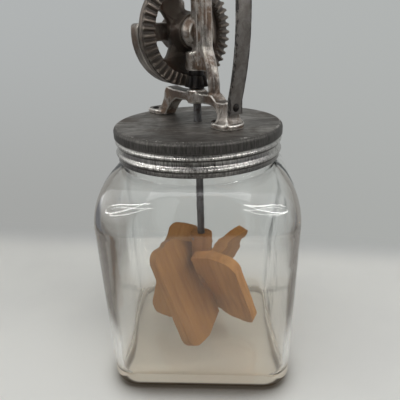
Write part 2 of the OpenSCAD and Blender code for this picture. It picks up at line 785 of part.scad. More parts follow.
// The crank's arm from the side and from its face
module arm_side() {
    level = -arm_level_r;
    out = -arm_set_r;
    end = -crank_r - crank_eye_r - cut;
    polygon([
        [0, crank_front_x], [level, crank_front_x], [out, eye_front_x], [end, eye_front_x],
        [end, eye_back_x], [out - 2, eye_back_x], [level - 2, crank_back_x], [0, crank_back_x]
    ]);
}
module arm_face() {
    translate([-crank_r, -crank_arm_w / 2]) square([crank_r, crank_arm_w]);
    translate([-crank_r, 0]) circle(r = crank_eye_r);
}

module crank() {
    color(iron_colour) on_axle() difference() {
        union() {
            translate([0, 0, weight_front_x - weight_t]) linear_extrude(weight_t)
                offset(r = 3) offset(delta = -3) weight_outline();
            intersection() {
                in_frame(2 * crank_eye_r) arm_side();
                translate([0, 0, eye_back_x - cut]) linear_extrude(crank_set + crank_t + 2 * cut) arm_face();
            }
            translate([0, 0, hub_back_x]) cylinder(r = crank_hub_r, h = gear_back_x - 1 - hub_back_x);
        }
        translate([0, 0, hub_back_x - cut])
            cylinder(r = hub_bore_r + seat, h = gear_back_x - hub_back_x + cut);
        for (a = [0, 180]) rotate(a) translate([hub_pin_ring, 0, hub_back_x - cut])
            cylinder(r = hub_pin_r + seat, h = gear_back_x - hub_back_x + cut);
        translate([-crank_r, 0, eye_back_x - cut]) cylinder(r = knob_pin_r + seat, h = crank_t + 2 * cut);
    }
}

module hub_bush() {
    color(bronze_colour) on_axle(hub_back_x) difference() {
        cylinder(r = hub_bore_r, h = hub_front_x - hub_back_x);
        translate([0, 0, -cut]) cylinder(r = stud_r + run, h = hub_front_x - hub_back_x + 2 * cut);
    }
}

module hub_pins() {
    color(steel_colour) on_axle(hub_back_x) for (a = [0, 180]) rotate(a) translate([hub_pin_ring, 0, 0])
        cylinder(r = hub_pin_r, h = hub_front_x - hub_back_x);
}

// Places a shape on the line of the crank's knob
module on_knob(x) { on_axle(x) translate([-crank_r, 0, 0]) children(); }

module knob_pin() {
    color(steel_colour) on_knob(knob_back_x) {
        cylinder(r = knob_pin_r, h = eye_front_x - knob_back_x);
        translate([0, 0, -gap]) mirror([0, 0, 1]) {
            translate([0, 0, -gap]) cylinder(r = knob_pin_r, h = gap + weld);
            rivet_head(knob_pin_r + 3, knob_head_t);
        }
    }
}

module knob_washer() {
    color(steel_colour) on_knob(eye_back_x - knob_washer_t) difference() {
        cylinder(r = knob_washer_r, h = knob_washer_t);
        translate([0, 0, -cut]) cylinder(r = knob_pin_r + seat, h = knob_washer_t + 2 * cut);
    }
}

// Side of the turned knob: a waist by the crank and a full belly towards the free end
knob_steps = 18;
function knob_side(t) = knob_r * (0.62 + 0.38 * pow(sin(180 * pow(t, 1.35)), 0.8) + 0.05 * cos(180 * t));

module crank_knob() {
    end_round = 2.5;
    outline = [
        for (i = [0 : knob_steps])
            let (t = i / knob_steps, tuck = i == 0 || i == knob_steps ? end_round : 0)
            [knob_side(t) - tuck, knob_len * (1 - t)]
    ];
    color(knob_colour) on_knob(knob_back_x) difference() {
        rotate_extrude() polygon(concat([[0, knob_len]], outline, [[0, 0]]));
        translate([0, 0, -cut]) cylinder(r = knob_pin_r + run, h = knob_len + 2 * cut);
    }
}

module dasher_shaft() {
    color(steel_colour) head() difference() {
        translate([0, 0, shaft_low_z]) cylinder(r = shaft_r, h = shaft_top_z - shaft_low_z);
        translate([0, 0, pinion_pin_z]) rotate([90, 0, 0])
            cylinder(r = pin_r + seat, h = 4 * shaft_r, center = true);
        translate([0, 0, dasher_pin_z]) rotate([90, 0, 0])
            cylinder(r = dasher_pin_r + seat, h = 4 * shaft_r, center = true);
    }
}

module pinion() {
    core = (pinion_r - shaft_r + 1) / cos(pinion_delta) - dedendum;
    color(dark_iron_colour) head() difference() {
        union() {
            translate([0, 0, axle_z]) tooth_ring(pinion_teeth, pinion_r, pinion_delta, pinion_flank, core);
            translate([0, 0, pinion_low_z]) cylinder(r = pinion_foot_r, h = gear_r / 20);
            translate([0, 0, pinion_top_z - 2 * weld]) cylinder(r = pinion_neck_r, h = 3 * weld);
            translate([0, 0, pinion_top_z + gap])
                cylinder(r = pinion_hub_r, h = pinion_hub_top_z - pinion_top_z - gap);
        }
        translate([0, 0, pinion_low_z - cut])
            cylinder(r = shaft_r + seat, h = pinion_hub_top_z - pinion_low_z + 2 * cut);
        translate([0, 0, pinion_pin_z]) rotate([90, 0, 0])
            cylinder(r = pin_r + seat, h = 4 * pinion_hub_r, center = true);
    }
}

module pinion_pin() {
    color(steel_colour) head() translate([0, 0, pinion_pin_z]) rotate([90, 0, 0])
        cylinder(r = pin_r, h = 2 * pinion_hub_r - 0.4, center = true);
}

module dasher_hub() {
    color(wood_colour) head() difference() {
        translate([0, 0, hub_low_z]) cylinder(r = dasher_hub_r, h = hub_top_z - hub_low_z);
        translate([0, 0, hub_low_z - cut]) cylinder(r = shaft_r + seat, h = hub_top_z - hub_low_z + 2 * cut);
        translate([0, 0, dasher_pin_z]) rotate([90, 0, 0])
            cylinder(r = dasher_pin_r + seat, h = 4 * dasher_hub_r, center = true);
        for (i = [0 : 3]) on_paddle(i) translate([dowel_in - seat, 0, 0]) rotate([0, 90, 0])
            cylinder(r = dowel_r + seat, h = dasher_hub_r);
    }
}

module dasher_pin() {
    color(steel_colour) head() translate([0, 0, dasher_pin_z]) rotate([90, 0, 0])
        cylinder(r = dasher_pin_r, h = 2 * dasher_hub_r - 0.5, center = true);
}

module dasher_washer() {
    color(steel_colour) head() translate([0, 0, hub_low_z - dasher_washer_t]) difference() {
        cylinder(r = dasher_hub_r - 2, h = dasher_washer_t);
        translate([0, 0, -cut]) cylinder(r = shaft_r + seat, h = dasher_washer_t + 2 * cut);
    }
}

module dasher_nut() {
    color(steel_colour) head() translate([0, 0, hub_low_z - dasher_washer_t - dasher_nut_h]) difference() {
        cylinder(r = 2 * shaft_r - 0.5, h = dasher_nut_h, $fn = 6);
        translate([0, 0, -cut]) cylinder(r = shaft_r + seat, h = dasher_nut_h + 2 * cut);
    }
}

// Places a shape of one paddle, with X along its reach and Z along its pitched length
module on_paddle(i) {
    rotate(paddle_turn + 90 * i) translate([0, 0, paddle_mid_z]) rotate([paddle_pitch, 0, 0]) children();
}

// One paddle: a board with rounded outer corners and cut inner ones, coped to the round hub
module paddle(i) {
    color(wood_colour) head() difference() {
        on_paddle(i) in_frame(paddle_t) difference() {
            union() {
                translate([0, -paddle_h / 2]) square([paddle_reach - paddle_round, paddle_h]);
                translate([0, paddle_round - paddle_h / 2])
                    square([paddle_reach, paddle_h - 2 * paddle_round]);
                for (z = [-1, 1]) translate([paddle_reach - paddle_round, z * (paddle_h / 2 - paddle_round)])
                    circle(r = paddle_round);
            }
            for (z = [-1, 1]) polygon([
                [0, z * (paddle_h - paddle_cut) / 2], [paddle_cut, z * paddle_h / 2],
                [paddle_cut, z * paddle_h], [-paddle_cut, z * paddle_h],
                [-paddle_cut, z * (paddle_h - paddle_cut) / 2]
            ]);
        }
        translate([0, 0, paddle_mid_z - paddle_h]) cylinder(r = paddle_cope_r, h = 2 * paddle_h);
        on_paddle(i) rotate([0, 90, 0]) cylinder(r = dowel_r + seat, h = dowel_out + seat);
    }
}

module paddle_1() { paddle(0); }
module paddle_2() { paddle(1); }
module paddle_3() { paddle(2); }
module paddle_4() { paddle(3); }

module paddle_dowels() {
    color(wood_colour) head() for (i = [0 : 3]) on_paddle(i) translate([dowel_in, 0, 0]) rotate([0, 90, 0])
        cylinder(r = dowel_r, h = dowel_out - dowel_in);
}

glass_jar();
cap_gasket();
screw_cap();
gear_frame();
foot_rivets();
strap_handle();
handle_rivet();
handle_screw();
axle_stud();
axle_washer();
axle_nut();
upper_bush();
lower_bush();
drive_gear();
crank();
hub_bush();
hub_pins();
knob_pin();
knob_washer();
crank_knob();
dasher_shaft();
pinion();
pinion_pin();
dasher_hub();
dasher_pin();
dasher_washer();
dasher_nut();
paddle_1();
paddle_2();
paddle_3();
paddle_4();
paddle_dowels();
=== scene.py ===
"""Looks of a glass jar butter churn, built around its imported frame. Lengths are in metres."""
import math

import bmesh
import bpy
import numpy as np
from mathutils import Euler, Matrix, Vector


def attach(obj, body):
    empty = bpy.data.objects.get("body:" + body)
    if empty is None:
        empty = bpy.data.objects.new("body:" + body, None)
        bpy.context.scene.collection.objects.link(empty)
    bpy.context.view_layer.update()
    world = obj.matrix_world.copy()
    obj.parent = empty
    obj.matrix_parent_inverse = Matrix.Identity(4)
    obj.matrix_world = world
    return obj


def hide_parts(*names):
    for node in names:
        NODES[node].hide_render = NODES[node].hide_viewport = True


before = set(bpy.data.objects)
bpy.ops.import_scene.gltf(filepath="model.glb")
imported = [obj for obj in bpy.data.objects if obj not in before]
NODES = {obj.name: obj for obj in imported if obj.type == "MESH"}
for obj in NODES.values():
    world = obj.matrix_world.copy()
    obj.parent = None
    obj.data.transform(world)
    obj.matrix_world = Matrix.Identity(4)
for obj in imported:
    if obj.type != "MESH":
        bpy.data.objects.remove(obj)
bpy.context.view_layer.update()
MM = 0.001

# Sizes of the CAD part that the looks are built on, in millimetres and degrees
JAR_H, NECK_H, SHOULDER_Z = 211.5, 30.0, 145.0
NECK_Z = JAR_H - NECK_H
FOOT_HALF, SHOULDER_HALF = 76.5, 80.5
FOOT_CORNER, SHOULDER_CORNER = 24.0, 30.0
WALL, FLOOR, CORNER_FILL = 4.0, 6.0, 3.0
FOOT_ROUND, FLOOR_ROUND = 7.0, 10.0
NECK_R, RIM_ROUND = 64.5, 1.5
THREAD_H, THREAD_PITCH, THREAD_TURNS, THREAD_W = 1.4, 8.6, 1.5, 2.4
LID_Z = 214.36
LID_TURN = math.radians(-49)
CAP_T, CAP_SKIRT, CAP_BAND, CAP_ROUND = 0.8, 27.0, 9.5, 4.0
BEAD_H, BEAD_W = 1.7, 6.0
GROOVE_R = 67.2
BAND_R = 69.5
SHAFT_HOLE_R = 3.85
AXLE_Z = 283.078
GEAR_TEETH, TOOTH_IN_R = 45, 31.8
STRAP_W = 12.5
PADDLE_PITCH, PADDLE_TURN = 25, 16

HEAD = Matrix.Translation((0, 0, LID_Z * MM)) @ Matrix.Rotation(LID_TURN, 4, "Z")


# Camera

def place_camera():
    data = bpy.data.cameras.new("photo_camera")
    data.sensor_width = 36
    data.lens = 38.97
    camera = bpy.data.objects.new("photo_camera", data)
    bpy.context.scene.collection.objects.link(camera)
    turn = Matrix.Rotation(math.radians(3.74), 4, "Z")
    tilt = Matrix.Rotation(math.radians(67.49), 4, "X")
    roll = Matrix.Rotation(math.radians(-1.83), 4, "Z")
    camera.matrix_world = Matrix.Translation((0.02303, -0.35606, 0.2911)) @ turn @ tilt @ roll
    bpy.context.scene.camera = camera


# Finishes

def linear(*seen):
    """A colour written as it is seen, from 0 to 255, as the shader wants it."""
    return tuple(c / 255 / 12.92 if c < 11 else ((c / 255 + 0.055) / 1.055) ** 2.4 for c in seen) + (1.0,)


class Val:
    """A socket of a node tree. Sums and products of these add the Math nodes that they stand for."""

    def __init__(self, tree, socket=None):
        self.tree = tree
        self.socket = socket

    def node(self, kind, settings=None, sockets=None, out=0):
        """Adds any node: its settings first, then the values or links of its sockets."""
        node = self.tree.nodes.new("ShaderNode" + kind)
        for key, value in (settings or {}).items():
            setattr(node, key, value)
        for key, value in (sockets or {}).items():
            if isinstance(value, Val):
                self.tree.links.new(value.socket, node.inputs[key])
            else:
                node.inputs[key].default_value = value
        return Val(self.tree, node.outputs[out] if node.outputs else None)

    def maths(self, operation, first, second=0.0):
        return self.node("Math", {"operation": operation}, {0: first, 1: second})

    def __add__(self, other):
        return self.maths("ADD", self, other)

    __radd__ = __add__

    def __sub__(self, other):
        return self.maths("SUBTRACT", self, other)

    def __rsub__(self, other):
        return self.maths("SUBTRACT", other, self)

    def __mul__(self, other):
        return self.maths("MULTIPLY", self, other)

    __rmul__ = __mul__

    def __pow__(self, other):
        return self.maths("POWER", self, other)

    def size(self):
        return self.maths("ABSOLUTE", self)

    def most(self, other):
        return self.maths("MAXIMUM", self, other)

    def step(self, low, high, to_low=0.0, to_high=1.0):
        """A soft step from one value to another between two levels."""
        return self.node("MapRange", {"interpolation_type": "SMOOTHSTEP"},
                         {0: self, 1: low, 2: high, 3: to_low, 4: to_high})

    def mix(self, low, high):
        """Colour from low to high as this value goes from 0 to 1."""
        return self.node("Mix", {"data_type": "RGBA"}, {0: self, 6: low, 7: high}, out=2)

    def noise(self, scale, detail=4.0, rough=0.55, warp=0.0):
        """Noise at this vector."""
        return self.node("TexNoise", None, {"Vector": self, "Scale": scale, "Detail": detail,
                                            "Roughness": rough, "Distortion": warp})

    def placed(self, turn=(0, 0, 0), scale=(1, 1, 1)):
        """This vector, turned and stretched."""
        return self.node("Mapping", None, {"Vector": self, "Rotation": turn, "Scale": scale})

    def axes(self):
        """The three parts of this vector."""
        return self.node("SeparateXYZ", None, {0: self}).outputs()

    def outputs(self):
        """All the outputs of the node that this socket is on."""
        return [Val(self.tree, socket) for socket in self.socket.node.outputs]


def bare(name):
    """A material without nodes, and the value that its nodes grow from."""
    material = bpy.data.materials.new(name)
    material.use_nodes = True
    material.node_tree.nodes.clear()
    return material, Val(material.node_tree)


def painted(name, paint):
    """A material whose surface paint(place) gives as the sockets of one Principled shader, with its bump."""
    material, start = bare(name)
    sockets = paint(start.node("TexCoord", out="Object"))
    bump = sockets.pop("bump", None)
    if bump:
        height, depth = bump
        sockets["Normal"] = start.node("Bump", None, {"Strength": 1.0, "Distance": depth, "Height": height})
    shader = start.node("BsdfPrincipled", None, sockets)
    start.node("OutputMaterial", None, {"Surface": shader})
    return material


def crevice(start, reach):
    """0 in the open, 1 deep in a gap of about this width. It is ambient occlusion, which paints shade into
    the gaps where it is used.
    """
    open_sky = start.node("AmbientOcclusion", {"samples": 12, "only_local": True},
                          {"Distance": reach}, out="AO")
    return open_sky.step(0.85, 0.3)


def iron(body, brown, bright, gloss):
    """Paint for old tinned iron: dark in its hollows, partly brown grime and partly painted shade; pitted;
    bright where hands rubbed it and along its edges, partly as a painted highlight; and painted darker on
    faces that look up, as painted shade.
    """
    metal, pits = 0.5, 0.35

    def paint(place):
        edge = place.node("NewGeometry", out="Pointiness")
        gap = crevice(place, 0.011)
        soot = place.noise(24, 3, 0.55, 0.6)
        blotch = place.noise(48, 5, 0.62, 0.5)
        patch = place.noise(170, 4, 0.6, 0.4)
        grain = place.noise(1300, 3, 0.6)
        pit = place.noise(620, 2, 0.5).step(0.64, 0.74)
        wear_and_sheen = (edge + 0.05 * (patch - 0.5)).step(0.507, 0.535)
        flat = place.node("NewGeometry", out="Normal").axes()[2].step(0.75, 0.97)
        streak = place.placed(scale=(1, 1, 0.3)).noise(230, 4, 0.66, 0.5)
        rust = (blotch + 0.5 * (patch - 0.5)).step(0.42, 0.6)
        base = rust.mix(body, brown)
        base = (soot.step(0.46, 0.6) * 0.55).mix(base, linear(84, 75, 67))
        base = (streak.step(0.5, 0.62) * 0.6).mix(base, linear(70, 61, 53))
        base = (grain.step(0.35, 0.75) * pits).mix(base, linear(70, 64, 59))
        # Faces that look up are painted darker: painted shade against the light that falls on them.
        base = (flat * 0.8).mix(base, linear(70, 62, 55))
        # Hollows darkened by ambient occlusion: partly brown grime, partly painted shade.
        base = (gap * 0.9).mix(base, linear(44, 33, 27))
        base = (pit * pits).mix(base, linear(38, 33, 30))
        # Edges painted bright: partly rubbed wear, partly a painted highlight where light catches them.
        base = (0.8 * wear_and_sheen).mix(base, bright)
        return {"Base Color": base, "Metallic": metal + 0.35 * wear_and_sheen - 0.4 * rust * metal - 0.4 * gap * metal,
                "Roughness": gloss + 0.12 * rust - 0.1 * wear_and_sheen + 0.1 * (grain - 0.5) + 0.15 * gap,
                "bump": (0.5 * grain + 0.8 * patch + 1.0 * blotch - 0.8 * pit, 0.0003)}
    return paint


def paint_gear(place):
    """The gear's casting: black between the teeth, partly grease and partly painted shade, and the tops of
    the teeth rubbed bright, partly as a painted highlight.
    """
    edge = place.node("NewGeometry", out="Pointiness")
    gap = crevice(place, 0.0045)
    along, across, up = place.placed(turn=(0, 0, -LID_TURN)).axes()
    up = up - AXLE_Z * MM
    spread = (across * across + up * up) ** 0.5
    swing = up.maths("ARCTAN2", up, across) * GEAR_TEETH + math.pi / 2
    tooth = swing.maths("COSINE", swing)
    toothed = spread.step((TOOTH_IN_R - 0.6) * MM, TOOTH_IN_R * MM) * along.step(-0.0115, -0.0104)
    patch = place.noise(190, 4, 0.6, 0.4)
    blotch = place.noise(60, 4, 0.6)
    grain = place.noise(1400, 3, 0.6)
    grease_and_shade = toothed * (tooth + 0.5 * (patch - 0.5)).step(0.3, -0.25)
    tip = toothed * (tooth + 0.9 * (patch - 0.5)).step(0.45, 0.85)
    wear_and_sheen = ((edge + 0.05 * (patch - 0.5)).step(0.52, 0.57) * 0.5).most(tip)
    base = (blotch + 0.4 * (patch - 0.5)).step(0.42, 0.66).mix(linear(90, 81, 73), linear(82, 62, 49))
    base = (grain.step(0.4, 0.75) * 0.3).mix(base, linear(58, 52, 48))
    # Dark between the teeth and in gaps: partly grease, partly painted shade.
    base = (0.92 * gap.most(grease_and_shade)).mix(base, linear(27, 22, 19))
    base = (0.75 * wear_and_sheen).mix(base, linear(146, 137, 127))
    return {"Base Color": base, "Metallic": 0.45 + 0.3 * wear_and_sheen - 0.35 * gap.most(grease_and_shade),
            "Roughness": 0.44 - 0.1 * wear_and_sheen + 0.12 * gap + 0.1 * (grain - 0.5),
            "bump": (0.6 * grain + 0.8 * patch, 0.0003)}


def paint_strap(place):
    """The handle's strap: worn grey along its middle, with dark pitted edges."""
    across = place.placed(turn=(0, 0, -LID_TURN)).axes()[1] * (2 / (STRAP_W * MM))
    side = across.size()
    patch = place.noise(150, 4, 0.6, 0.4)
    speck = place.placed(scale=(1, 1, 0.45)).noise(520, 3, 0.62)
    grain = place.noise(1500, 3, 0.6)
    rim = (side + 0.5 * (speck - 0.5)).step(0.72, 0.98)
    dark = rim * speck.step(0.44, 0.54)
    base = patch.step(0.35, 0.7).mix(linear(134, 130, 125), linear(108, 101, 94))
    base = (grain.step(0.4, 0.75) * 0.3).mix(base, linear(70, 66, 62))
    base = (0.85 * dark).mix(base, linear(34, 30, 28))
    return {"Base Color": base, "Metallic": 0.45 - 0.3 * dark,
            "Roughness": 0.42 + 0.2 * dark + 0.1 * (grain - 0.5),
            "bump": (0.6 * grain + 0.8 * patch - 1.2 * dark, 0.0003)}


def paint_dark_iron(place):
    blotch = place.noise(220, 4, 0.6)
    grain = place.noise(1600, 3, 0.6)
    base = blotch.step(0.4, 0.7).mix(linear(34, 32, 31), linear(62, 54, 47))
    return {"Base Color": base, "Metallic": 0.5, "Roughness": 0.42 + 0.2 * blotch,
            "bump": (grain + blotch, 0.0002)}


def paint_worn_tin(place):
    """Tinned sheet: dull streaks rubbed across the top, a dark band, bright beads with painted shade on
    their lower slopes, the skirt painted darker at its front as a painted dark reflection, and a dark rolled
    hem.
    """
    x, y, z = place.axes()
    streak = place.placed(turn=(0, 0, math.radians(6)), scale=(16, 62, 40)).noise(4, 5, 0.62, 0.8)
    fine = place.placed(turn=(0, 0, math.radians(-4)), scale=(30, 700, 200)).noise(2.4, 4, 0.6)
    upright = place.placed(scale=(1, 1, 0.12)).noise(850, 3, 0.6)
    blotch = place.noise(42, 5, 0.62, 0.8)
    speck = place.noise(900, 3, 0.6)
    down = (LID_Z * MM - z) * 1000
    below = down - (CAP_BAND + BEAD_W / 2)
    band = down.step(0.2, 1.4) * (down + 0.8 * (upright - 0.5)).step(CAP_BAND + 1.5, CAP_BAND + 0.4)
    hem = down.step(CAP_SKIRT - 3.6, CAP_SKIRT - 2.2)
    side = down.step(0.6, 2.0)
    rubbed = (down.step(0.05, 0.3) * down.step(1.1, 0.5)) * (speck + 1.4 * (blotch - 0.5)).step(0.56, 0.68)
    bead_underside_shade = None
    # Painted shade on the lower slope of each bead.
    for bead in (0.0, THREAD_PITCH):
        under = (below - bead + 1.2 * (upright - 0.5)).step(0.5, 1.3) * (below - bead).step(3.4, 2.4)
        bead_underside_shade = under if bead_underside_shade is None else bead_underside_shade.most(under)
    dull = (0.55 * streak + 0.45 * blotch).step(0.36, 0.62)
    top = dull.mix(linear(148, 144, 138), linear(98, 93, 87))
    top = (fine.step(0.52, 0.72) * 0.4).mix(top, linear(160, 156, 150))
    top = (blotch.step(0.54, 0.7) * 0.6).mix(top, linear(84, 70, 57))
    cloud = place.placed(scale=(0.8, 1.7, 1)).noise(26, 4, 0.6, 0.7)
    top = (cloud.step(0.46, 0.62) * 0.55).mix(top, linear(64, 60, 56))
    # Darker towards the front edge of the top.
    top = (0.6 * (y + 0.03 * (cloud - 0.5)).step(-0.036, -0.058)).mix(top, linear(54, 51, 48))
    top = (speck.step(0.55, 0.72) * 0.35).mix(top, linear(66, 61, 56))
    # The skirt's front is painted darker: a painted dark reflection of the room before it, mixed with real
    # smears.
    front_dark_reflection = (0.0 - y).step(0.045, 0.068)
    smear_and_dark_reflection = (upright + 0.05 * front_dark_reflection).step(0.4, 0.7) * (0.6 + 0.22 * front_dark_reflection)
    wall = smear_and_dark_reflection.mix(linear(204, 202, 198), linear(88, 85, 81))
    base = side.mix(top, wall)
    base = (0.9 * band).mix(base, upright.step(0.3, 0.7).mix(linear(84, 81, 77), linear(62, 60, 57)))
    base = (0.7 * hem).mix(base, speck.step(0.4, 0.62).mix(linear(52, 49, 47), linear(120, 116, 112)))
    base = (0.85 * bead_underside_shade).mix(base, linear(44, 41, 38))
    base = (0.7 * rubbed).mix(base, linear(190, 187, 182))
    return {"Base Color": base, "Metallic": 0.6 + 0.35 * side - 0.2 * band - 0.2 * hem - 0.3 * bead_underside_shade,
            "Roughness": 0.44 + 0.12 * dull - 0.2 * side + 0.22 * band + 0.16 * bead_underside_shade + 0.1 * (fine - 0.5),
            "bump": ((0.4 * fine + 0.7 * blotch + 0.3 * speck) * (1.0 - 0.8 * side), 0.00016)}


def paint_steel(place):
    blotch = place.noise(160, 4, 0.6)
    turned = place.placed(scale=(1, 1, 16)).noise(260, 3, 0.6)
    stain = blotch.step(0.5, 0.72)
    base = stain.mix(linear(124, 124, 126), linear(82, 74, 68))
    return {"Base Color": base, "Metallic": 0.9 - 0.3 * stain,
            "Roughness": 0.3 + 0.22 * stain + 0.12 * turned,
            "bump": (turned, 0.0001)}


def paint_bronze(place):
    blotch = place.noise(240, 4, 0.6)
    base = blotch.step(0.4, 0.65).mix(linear(150, 118, 74), linear(96, 74, 48))
    return {"Base Color": base, "Metallic": 0.85, "Roughness": 0.34 + 0.2 * blotch, "bump": (blotch, 0.0001)}


def paint_rubber(place):
    speck = place.noise(1200, 3, 0.6)
    blotch = place.noise(120, 4, 0.6)
    base = blotch.step(0.35, 0.7).mix(linear(66, 58, 52), linear(92, 80, 70))
    return {"Base Color": base, "Roughness": 0.72 + 0.12 * speck, "bump": (speck + blotch, 0.0002)}


def wood(turn, tone):
    """Paint for a board with its grain along its length, which turn lays on the pattern's Z axis."""
    light, dark = tone

    def paint(place):
        board = place.placed(turn=turn)
        rings = board.placed(scale=(90, 90, 7)).noise(1.6, 4, 0.6, 1.2)
        pores = board.placed(scale=(1500, 1500, 60)).noise(1, 3, 0.6)
        cloud = board.noise(38, 4, 0.6)
        base = (0.75 * rings.step(0.3, 0.7)).mix(light, dark)
        base = (pores.step(0.56, 0.72) * 0.25).mix(base, linear(104, 66, 36))
        base = (cloud.step(0.55, 0.8) * 0.3).mix(base, linear(128, 88, 54))
        return {"Base Color": base, "Roughness": 0.6 + 0.14 * pores,
                "bump": (0.5 * rings + 0.5 * pores, 0.0003)}
    return paint


def clear_glass():
    """Old pressed glass, faintly uneven and brown at its base, where it is looked straight through and its
    heel is painted dark as painted shade.
    Shadows fall through it, darker under the rounded foot."""
    material, start = bare("clear_glass")
    place = start.node("TexCoord", out="Object")
    x, y, z = place.axes()
    wave = place.noise(26, 2, 0.4)
    seed = place.noise(420, 2, 0.5)
    film = (z + 0.006 * (wave - 0.5)).step(0.03, 0.004)
    tint = film.mix((0.992, 0.992, 0.982, 1), (0.98, 0.935, 0.875, 1))
    normal = start.node("Bump", None, {"Strength": 1.0, "Distance": 0.0005, "Height": wave + 0.02 * seed})
    glass = start.node("BsdfPrincipled", None, {
        "Base Color": tint, "Roughness": 0.0, "IOR": 1.5, "Transmission Weight": 1.0, "Normal": normal})
    # The heel, low on the foot, is painted dark brown: painted shade for the shadowed floor that the rounded
    # glass would bend into view.
    painted_heel_shade = z.step(0.0056, 0.0028) * z.step(0.00004, 0.0003)
    clear = start.node("BsdfTransparent", None, {"Color": (0.96, 0.935, 0.895, 1)})
    brown = start.node("BsdfTransparent", None, {"Color": (0.62, 0.57, 0.5, 1)})
    clear = start.node("MixShader", None, {0: painted_heel_shade, 1: clear, 2: brown})
    shine = start.node("BsdfGlossy", None, {"Color": (1, 1, 1, 1), "Roughness": 0.06, "Normal": normal})
    base = start.node("MixShader", None, {0: 0.05, 1: clear, 2: shine})
    low = z - 0.012 * x.size().step(0.078, 0.048)
    glass = start.node("MixShader", None, {0: low.step(0.0059, 0.0046), 1: glass, 2: base})
    thin = start.node("BsdfTransparent", None, {"Color": (0.985, 0.985, 0.98, 1)})
    foot = start.node("BsdfTransparent", None, {"Color": (0.34, 0.31, 0.27, 1)})
    rounding = z.step(0.0068, 0.004) * z.step(0.00004, 0.0003)
    through = start.node("MixShader", None, {0: rounding, 1: thin, 2: foot})
    shadow = start.node("LightPath", out="Is Shadow Ray")
    mixed = start.node("MixShader", None, {0: shadow, 1: glass, 2: through})
    start.node("OutputMaterial", None, {"Surface": mixed})
    return material


# Modelling tools

def new_piece(name, add, **sizes):
    """Adds a primitive by itself and opens it for editing."""
    if bpy.context.object and bpy.context.object.mode != "OBJECT":
        bpy.ops.object.mode_set(mode="OBJECT")
    bpy.ops.object.select_all(action="DESELECT")
    add(**sizes)
    piece = bpy.context.object
    piece.name = name
    piece.data.name = name
    bpy.ops.object.mode_set(mode="EDIT")
    return piece


def loft(name, rings, close=True):
    """A skin through rings: a circle is extruded from ring to ring. With close, its ends are filled."""
    piece = new_piece(name, bpy.ops.mesh.primitive_circle_add, vertices=len(rings[0]), radius=1)
    mesh = bmesh.from_edit_mesh(piece.data)
    verts = sorted(mesh.verts, key=lambda v: v.index)
    turn = np.arctan2([v.co.y for v in verts], [v.co.x for v in verts]) % (2 * math.pi)
    order = [verts[i] for i in np.argsort(turn)]
    for v, p in zip(order, rings[0]):
        v.co = p
    bmesh.update_edit_mesh(piece.data)
    if close:
        bpy.ops.mesh.edge_face_add()
        bpy.ops.mesh.select_mode(type="EDGE")
    last = rings[0]
    for ring in rings[1:]:
        if close:
            bpy.ops.mesh.extrude_region_move()
        else:
            bpy.ops.mesh.extrude_edges_move()
        mesh = bmesh.from_edit_mesh(piece.data)
        moved = [v for v in mesh.verts if v.select]
        places = np.array([v.co for v in moved])
        last = np.array(last)
        for v, at in zip(moved, places):
            v.co = ring[int(((last - at) ** 2).sum(1).argmin())]
        bmesh.update_edit_mesh(piece.data)
        last = ring
    bpy.ops.mesh.select_all(action="SELECT")
    bpy.ops.mesh.normals_make_consistent(inside=False)
    bpy.ops.object.mode_set(mode="OBJECT")
    return piece


def copy_of(node, name):
    """A copy of a CAD node's mesh, merged, to be worked on as a new piece."""
    bpy.ops.object.select_all(action="DESELECT")
    piece = bpy.data.objects.new(name, NODES[node].data.copy())
    bpy.context.scene.collection.objects.link(piece)
    piece.data.name = name
    bpy.context.view_layer.objects.active = piece
    piece.select_set(True)
    bpy.ops.object.mode_set(mode="EDIT")
    bpy.ops.mesh.select_all(action="SELECT")
    bpy.ops.mesh.remove_doubles(threshold=0.00001)
    bpy.ops.object.mode_set(mode="OBJECT")
    return piece


def apply(piece, kind, **settings):
    """Adds a modifier, sets it and applies it."""
    bpy.ops.object.select_all(action="DESELECT")
    bpy.context.view_layer.objects.active = piece
    piece.select_set(True)
    bpy.ops.object.modifier_add(type=kind)
    modifier = piece.modifiers[-1]
    for key, value in settings.items():
        setattr(modifier, key, value)
    bpy.ops.object.modifier_apply(modifier=modifier.name)


def smooth(piece, angle=40):
    bpy.ops.object.select_all(action="DESELECT")
    bpy.context.view_layer.objects.active = piece
    piece.select_set(True)
    bpy.ops.object.shade_smooth_by_angle(angle=math.radians(angle))


def dress(piece, material, body, slot, *nodes):
    """Gives a new piece its finish, the body that it rides on and the nodes that it stands for."""
    piece.data.materials.clear()
    piece.data.materials.append(material)
    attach(piece, body)
    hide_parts(*nodes)


def repaint(material, *nodes):
    """A better finish for CAD nodes that stay."""
    for node in nodes:
        NODES[node].data.materials.clear()
        NODES[node].data.materials.append(material)


# Jar

RING_POINTS = 288
TURNS = np.arange(RING_POINTS) / RING_POINTS * 2 * math.pi
RIM_STEPS, FOOT_STEPS, FLOOR_STEPS, SHOULDER_STEPS = 6, 8, 12, 28


def quarter(steps):
    """Angles of a quarter turn in even steps."""
    return [math.pi / 2 * i / steps for i in range(steps + 1)]


def square_ring(half, corner, z):
    """A rounded square, with its points spread evenly round the middle."""
    corner = min(max(corner, 0.5), half)
    flat = half - corner
    a = (TURNS + math.pi / 4) % (math.pi / 2) - math.pi / 4
    c, s = np.cos(a), np.abs(np.sin(a))
    on_flat = half / c
    along = flat * (c + s)
    on_corner = along + np.sqrt(np.maximum(along ** 2 - 2 * flat ** 2 + corner ** 2, 0))
    r = np.where(half * s / c <= flat, on_flat, on_corner) * MM
    return np.stack([r * np.cos(TURNS), r * np.sin(TURNS), np.full(RING_POINTS, z * MM)], 1)


def body_half(z):
    return FOOT_HALF + (SHOULDER_HALF - FOOT_HALF) * z / SHOULDER_Z


def body_corner(z):
    return FOOT_CORNER + (SHOULDER_CORNER - FOOT_CORNER) * z / SHOULDER_Z


